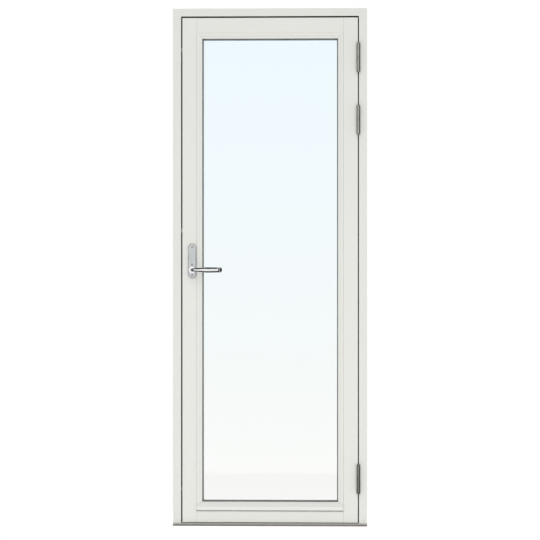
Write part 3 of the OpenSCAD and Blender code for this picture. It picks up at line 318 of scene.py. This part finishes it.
def hardwood(name, colour):
    """Oiled hardwood with its grain along X."""
    finish = Finish(name)
    fibre = finish.noise(detail=6.0, along=(6, 160, 160))
    band = finish.noise(detail=3.0, along=(1.5, 38, 38))
    pores = finish.noise(detail=2.0, along=(60, 900, 900))
    tone = {
        "Factor": 0.6,
        "A": finish.tones(band, shade(colour, 0.7), shade(colour, 1.15)),
        "B": finish.ramp(fibre, (NOISE_LOW, (0.55, 0.5, 0.45)), (0.65, (1, 1, 1))),
    }
    return finish.done(finish.shader(
        Base_Color=finish.node("Mix", tone, data_type="RGBA", blend_type="MULTIPLY").outputs["Result"],
        Roughness=finish.spread(fibre, low=0.45, high=0.6),
        Normal=finish.bump(pores, strength=0.25, distance=0.0003),
    ))


def brushed_metal(name, colour, rough, along):
    """Metal with fine lines along one axis and faint clouding."""
    finish = Finish(name)
    lines = finish.noise(detail=3.0, along=along)
    cloud = finish.noise(scale=45.0, detail=3.0)
    return finish.done(finish.shader(
        Metallic=1.0,
        Base_Color=finish.tones(cloud, shade(colour, 0.92), colour),
        Roughness=finish.spread(lines, low=rough - 0.06, high=rough + 0.06),
        Normal=finish.bump(lines, strength=0.08, distance=0.0001),
    ))


def handle_plate(name, colour, rough, along):
    """Brushed metal with a polished collar, which stands proud of the plate's face."""
    finish = Finish(name)
    lines = finish.noise(detail=3.0, along=along)
    cloud = finish.noise(scale=45.0, detail=3.0)
    low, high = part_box("outside_plate")[0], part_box("inside_plate")[1]
    collars = (
        finish.within(low, Vector((high.x, low.y + COLLAR_HEIGHT, high.z))),
        finish.within(Vector((low.x, high.y - COLLAR_HEIGHT, low.z)), high),
    )
    tone = finish.tones(cloud, shade(colour, 0.92), colour)
    bright = finish.tones(cloud, shade(COLLAR_BRIGHT, 0.98), COLLAR_BRIGHT)
    coarse = finish.spread(lines, low=rough - 0.06, high=rough + 0.06)
    smooth = finish.spread(cloud, low=0.06, high=0.12)
    for collar in collars:
        tone = finish.blend(collar, tone, bright)
        coarse = finish.blend(collar, coarse, smooth)
    return finish.done(finish.shader(
        Metallic=1.0,
        Base_Color=tone,
        Roughness=coarse,
        Normal=finish.bump(lines, strength=0.12, distance=0.0001),
    ))


def anodised(name, colour, nose_shade, along):
    """Matt aluminium with drawn lines along one axis, with painted light on its slope and painted shade on
    its nose.
    """
    finish = Finish(name)
    lines = finish.noise(detail=3.0, along=along)
    cloud = finish.noise(scale=30.0, detail=3.0)
    bright = finish.tones(cloud, shade(colour, 0.92), colour)
    shaded_nose = finish.tones(cloud, shade(nose_shade, 0.85), nose_shade)
    return finish.done(finish.shader(
        Metallic=0.25,
        # Painted shade on the nose below NOSE_LOW, painted light on the slope above NOSE_HIGH
        Base_Color=finish.blend(finish.climb(NOSE_LOW, NOSE_HIGH), shaded_nose, bright),
        Roughness=finish.spread(lines, low=0.44, high=0.56),
        Normal=finish.bump(lines, strength=0.10, distance=0.0001),
    ))


def plated_metal(name, colour, rough):
    """Plated steel: a faintly mottled, slightly uneven skin."""
    finish = Finish(name)
    mottle = finish.noise(scale=220.0, detail=3.0)
    return finish.done(finish.shader(
        Metallic=1.0,
        Base_Color=finish.tones(mottle, shade(colour, 0.86), colour),
        Roughness=finish.spread(mottle, low=rough - 0.05, high=rough + 0.08),
        Normal=finish.bump(mottle, strength=0.06, distance=0.0002),
    ))


def polished_metal(name, colour):
    """Polished chrome with the faint haze that handling leaves."""
    finish = Finish(name)
    haze = finish.noise(scale=30.0, detail=4.0)
    return finish.done(finish.shader(
        Metallic=1.0,
        Base_Color=finish.tones(haze, shade(colour, 0.97), colour),
        Roughness=finish.spread(haze, low=0.05, high=0.10),
    ))


def rubber(name, colour, rough):
    """Extruded rubber or moulded plastic with a fine matt skin."""
    finish = Finish(name)
    skin = finish.noise(scale=900.0, detail=2.0)
    cloud = finish.noise(scale=14.0, detail=2.0)
    return finish.done(finish.shader(
        Base_Color=finish.tones(cloud, shade(colour, 0.8), shade(colour, 1.15)),
        Roughness=finish.spread(cloud, low=rough - 0.08, high=rough + 0.08),
        Normal=finish.bump(skin, strength=0.12, distance=0.0002),
    ))


def clear_glass(name):
    """Clear panes that tint what is behind them with a painted sky reflection, and mirror more as they turn
    away.
    """
    finish = Finish(name)
    low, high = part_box("outer_pane")
    painted_sky = finish.ramp(finish.climb(low.z, high.z), *GLASS_PAINTED_SKY)
    see = finish.node("BsdfTransparent", {"Color": painted_sky}).outputs["BSDF"]
    ripple = finish.noise(scale=3.0, detail=1.0)
    mirror = finish.shader(
        Metallic=1.0,
        Base_Color=WHITE,
        Roughness=finish.spread(ripple, low=0.01, high=0.03),
    )
    turned = finish.math("POWER", finish.node("LayerWeight").outputs["Facing"], GLASS_TURN)
    return finish.done(finish.mix(finish.mapped(turned, To_Min=GLASS_SHINE), see, mirror))


def make_finishes():
    """A material for each of the record's slots; painted wood has one for each way of the grain."""
    finishes = {}
    for slot, colour in PAINTED.items():
        # Painted shade in the frame's rebate, and lines of painted shade in the joints of the sash and
        # beads
        shade_marks = (REBATE_SHADE, [rebate_box()]) if slot == "frame_paint" else (JOINT_SHADE, joint_boxes())
        finishes[slot, "upright"] = painted_wood(slot + "_upright", colour, UPRIGHT, *shade_marks)
        finishes[slot, "level"] = painted_wood(slot + "_level", colour, LEVEL, *shade_marks)
    plain = {
        "threshold_wood": (hardwood, {"colour": (0.45, 0.31, 0.19)}),
        "threshold_alloy": (anodised, {
            "colour": (0.66, 0.66, 0.63), "nose_shade": (0.19, 0.18, 0.175), "along": BRUSHED_LEVEL,
        }),
        "seal_rubber": (rubber, {"colour": (0.022, 0.019, 0.016), "rough": 0.68}),
        "lock_zinc": (plated_metal, {"colour": (0.62, 0.62, 0.60), "rough": 0.36}),
        "hinge_steel": (brushed_metal, {"colour": (0.41, 0.43, 0.38), "rough": 0.27, "along": BRUSHED_UP}),
        "pin_steel": (plated_metal, {"colour": (0.56, 0.56, 0.56), "rough": 0.26}),
        "clear_glass": (clear_glass, {}),
        "spacer_grey": (rubber, {"colour": (0.24, 0.27, 0.255), "rough": 0.5}),
        "edge_sealant": (rubber, {"colour": (0.04, 0.04, 0.04), "rough": 0.6}),
        "gasket_grey": (rubber, {"colour": (0.21, 0.225, 0.215), "rough": 0.62}),
        "block_plastic": (rubber, {"colour": (0.08, 0.08, 0.09), "rough": 0.5}),
        "plate_satin": (handle_plate, {"colour": (0.64, 0.66, 0.67), "rough": 0.32, "along": BRUSHED_UP}),
        "screw_nickel": (plated_metal, {"colour": (0.42, 0.42, 0.41), "rough": 0.28}),
        "lever_chrome": (polished_metal, {"colour": (0.84, 0.85, 0.86)}),
        "cam_steel": (plated_metal, {"colour": (0.74, 0.74, 0.74), "rough": 0.18}),
    }
    for slot, (make, facts) in plain.items():
        finishes[slot, "upright"] = finishes[slot, "level"] = make(slot, **facts)
    return finishes


def soften(piece, width, steps):
    """Rounds a node's sharp edges and evens its shading."""
    weld = piece.modifiers.new("weld", "WELD")
    weld.merge_threshold = WELD_DISTANCE
    flat = piece.modifiers.new("flats", "DECIMATE")
    flat.decimate_type = "DISSOLVE"
    flat.angle_limit = FLAT_ANGLE
    bevel = piece.modifiers.new("edges", "BEVEL")
    bevel.width = width
    bevel.segments = steps
    bevel.limit_method = "ANGLE"
    bevel.angle_limit = SHARP_ANGLE
    bevel.use_clamp_overlap = True
    even = piece.modifiers.new("shading", "WEIGHTED_NORMAL")
    even.weight = SHADING_WEIGHT


def dress():
    """Gives every CAD node its finish and its softened edges."""
    finishes = make_finishes()
    for row in frame["record"]["subparts"]:
        piece = nodes[row["node"]]
        slot = row["material_slot"]
        grain = "level" if row["node"] in LEVEL_NODES else "upright"
        piece.data.materials.clear()
        piece.data.materials.append(finishes[slot, grain])
        soften(piece, *EDGES[slot])


def make_world():
    """Soft light on the object, and a white backdrop for what is seen, mirrored or seen through."""
    world = bpy.data.worlds.new("studio")
    bpy.context.scene.world = world
    tree = Tree(world)
    way = tree.node("TexCoord").outputs["Generated"]
    aside = tree.math("ABSOLUTE", tree.axes(way)["X"])
    level = tree.mapped(aside, From_Max=WORLD_TURN, To_Min=WORLD_FRONT, To_Max=WORLD_SIDE)
    light = tree.node("Background", {"Color": WHITE, "Strength": level})
    backdrop = tree.node("Background", {"Color": WHITE, "Strength": BACKDROP_LIGHT})
    tree.surface(tree.mix(tree.seen(), light.outputs["Background"], backdrop.outputs["Background"]))


def flat_sheet(name, low, high, material):
    """A level or upright sheet of the studio, between two opposite corners."""
    spans = [sorted({least, most}) for least, most in zip(low, high)]
    around = (0, 2, 3, 1)
    mesh = bpy.data.meshes.new(name)
    mesh.from_pydata(list(itertools.product(*spans)), [], [around])
    mesh.materials.append(material)
    sheet = bpy.data.objects.new(name, mesh)
    bpy.context.scene.collection.objects.link(sheet)
    return sheet


def make_floor():
    """A pale floor that keeps the shadow and is white where nothing shades it."""
    material = bpy.data.materials.new("floor")
    tree = Tree(material)
    seen = tree.seen()
    matt = tree.node("BsdfDiffuse", {"Color": FLOOR_COLOUR}).outputs["BSDF"]
    level = tree.mapped(seen, To_Min=FLOOR_BOUNCE, To_Max=FLOOR_GLOW)
    glow = tree.node("Emission", {"Strength": level}).outputs["Emission"]
    near = tree.node("AddShader", {0: matt, 1: glow}).outputs["Shader"]
    place = tree.node("TexCoord").outputs["Object"]
    stretched = tree.node("Mapping", {"Vector": place, "Scale": FLOOR_STRETCH}).outputs["Vector"]
    away = tree.node("VectorMath", {0: stretched}, operation="LENGTH").outputs["Value"]
    share = tree.mapped(away, "SMOOTHSTEP", From_Min=FLOOR_SHADED, From_Max=FLOOR_WHITE)
    paper = tree.node("Emission").outputs["Emission"]
    tree.surface(tree.mix(tree.math("MULTIPLY", share, seen), near, paper))
    flat_sheet("floor", (-FLOOR_HALF, -FLOOR_HALF, 0), (FLOOR_HALF, FLOOR_HALF, 0), material)


def make_card(name, low, high, grey):
    """A grey card that only shows in reflections, as the dark parts of a studio do."""
    material = bpy.data.materials.new(name)
    tree = Tree(material)
    tree.surface(tree.node("Emission", {"Color": (grey, grey, grey, 1)}).outputs["Emission"])
    card = flat_sheet(name, low, high, material)
    card.visible_camera = False
    card.visible_diffuse = False
    card.visible_shadow = False
    card.visible_transmission = False


def make_key():
    """One broad, distant lamp in front of the door."""
    lamp = bpy.data.lights.new("key", "SUN")
    lamp.energy = KEY_LIGHT
    lamp.angle = KEY_SPREAD
    key = bpy.data.objects.new("key", lamp)
    key.location = KEY_FROM
    key.rotation_mode = "QUATERNION"
    key.rotation_quaternion = (-KEY_FROM).to_track_quat("-Z", "Y")
    key.visible_glossy = False
    key.visible_camera = False
    bpy.context.scene.collection.objects.link(key)


def make_camera():
    """A long lens, framed as the photograph is."""
    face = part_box("lock_jamb")[0].y
    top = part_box("head")[1].z
    per_pixel = top / (PHOTO_BOTTOM - PHOTO_TOP)
    aim = Vector((
        (IMAGE_SIZE / 2 - PHOTO_MIDDLE) * per_pixel,
        face,
        top - (IMAGE_SIZE / 2 - PHOTO_TOP) * per_pixel,
    ))
    back = Vector((math.sin(CAMERA_AZIMUTH), -math.cos(CAMERA_AZIMUTH), 0))
    lens = bpy.data.cameras.new("camera")
    lens.sensor_width = SENSOR_WIDTH
    lens.lens = SENSOR_WIDTH * CAMERA_DISTANCE / (IMAGE_SIZE * per_pixel)
    lens.clip_end = CAMERA_REACH
    camera = bpy.data.objects.new("camera", lens)
    camera.location = aim + back * CAMERA_DISTANCE
    camera.rotation_mode = "QUATERNION"
    camera.rotation_quaternion = (-back).to_track_quat("-Z", "Y")
    bpy.context.scene.collection.objects.link(camera)
    bpy.context.scene.camera = camera


bpy.context.scene.view_settings.view_transform = "Standard"
make_camera()
dress()
make_world()
make_floor()
for card_name, card_facts in CARDS.items():
    make_card(card_name, *card_facts)
make_key()
